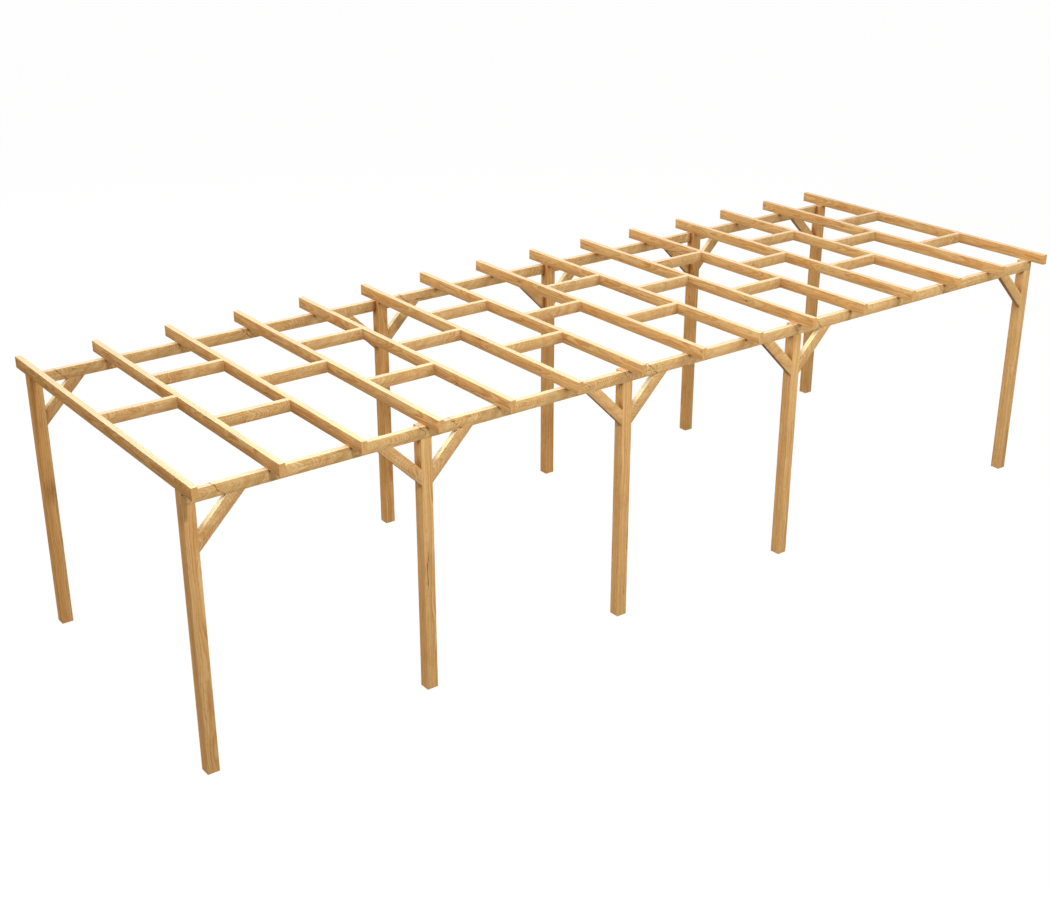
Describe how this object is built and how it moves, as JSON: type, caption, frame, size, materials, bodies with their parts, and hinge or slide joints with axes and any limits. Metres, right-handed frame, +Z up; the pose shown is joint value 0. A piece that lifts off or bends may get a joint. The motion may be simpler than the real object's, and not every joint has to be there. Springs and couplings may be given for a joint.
{
  "type": "long free-standing wooden pergola",
  "caption": "Long open timber pergola: two rows of square posts, edge beams with knee braces, and a flat roof of rafters with staggered noggings.",
  "frame": {"origin": "on the ground under the middle of the roof: the middle of the length and of the rafters, at the level of the post feet", "axes": "+X along the length to the right, +Y from the front row of posts (long bay at the right) to the rear row, +Z up"},
  "size_m": [9.57, 3.35, 2.44],
  "materials": {
    "post_timber": "planed softwood, oiled, upright grain",
    "beam_timber": "planed softwood, oiled, flat-sawn grain along the beam",
    "rafter_timber": "planed softwood, oiled, grain along the rafter",
    "brace_timber": "planed softwood, oiled, grain along the brace",
    "nogging_timber": "planed softwood, oiled, grain along the nogging"
  },
  "bodies": {
    "root": {"front_post_1": "post_timber", "front_post_2": "post_timber", "front_post_3": "post_timber", "front_post_4": "post_timber", "front_post_5": "post_timber", "front_beam_1": "beam_timber", "front_beam_2": "beam_timber", "front_beam_3": "beam_timber", "front_beam_4": "beam_timber", "front_braces_1": "brace_timber", "front_braces_2": "brace_timber", "front_braces_3": "brace_timber", "front_braces_4": "brace_timber", "rear_post_1": "post_timber", "rear_post_2": "post_timber", "rear_post_3": "post_timber", "rear_post_4": "post_timber", "rear_post_5": "post_timber", "rear_beam_1": "beam_timber", "rear_beam_2": "beam_timber", "rear_beam_3": "beam_timber", "rear_beam_4": "beam_timber", "rear_braces_1": "brace_timber", "rear_braces_2": "brace_timber", "rear_braces_3": "brace_timber", "rear_braces_4": "brace_timber", "rafter_01": "rafter_timber", "rafter_02": "rafter_timber", "rafter_03": "rafter_timber", "rafter_04": "rafter_timber", "rafter_05": "rafter_timber", "rafter_06": "rafter_timber", "rafter_07": "rafter_timber", "rafter_08": "rafter_timber", "rafter_09": "rafter_timber", "rafter_10": "rafter_timber", "rafter_11": "rafter_timber", "rafter_12": "rafter_timber", "rafter_13": "rafter_timber", "rafter_14": "rafter_timber", "rafter_15": "rafter_timber", "front_noggings": "nogging_timber", "middle_noggings": "nogging_timber", "rear_noggings": "nogging_timber"}
  },
  "joints": []
}
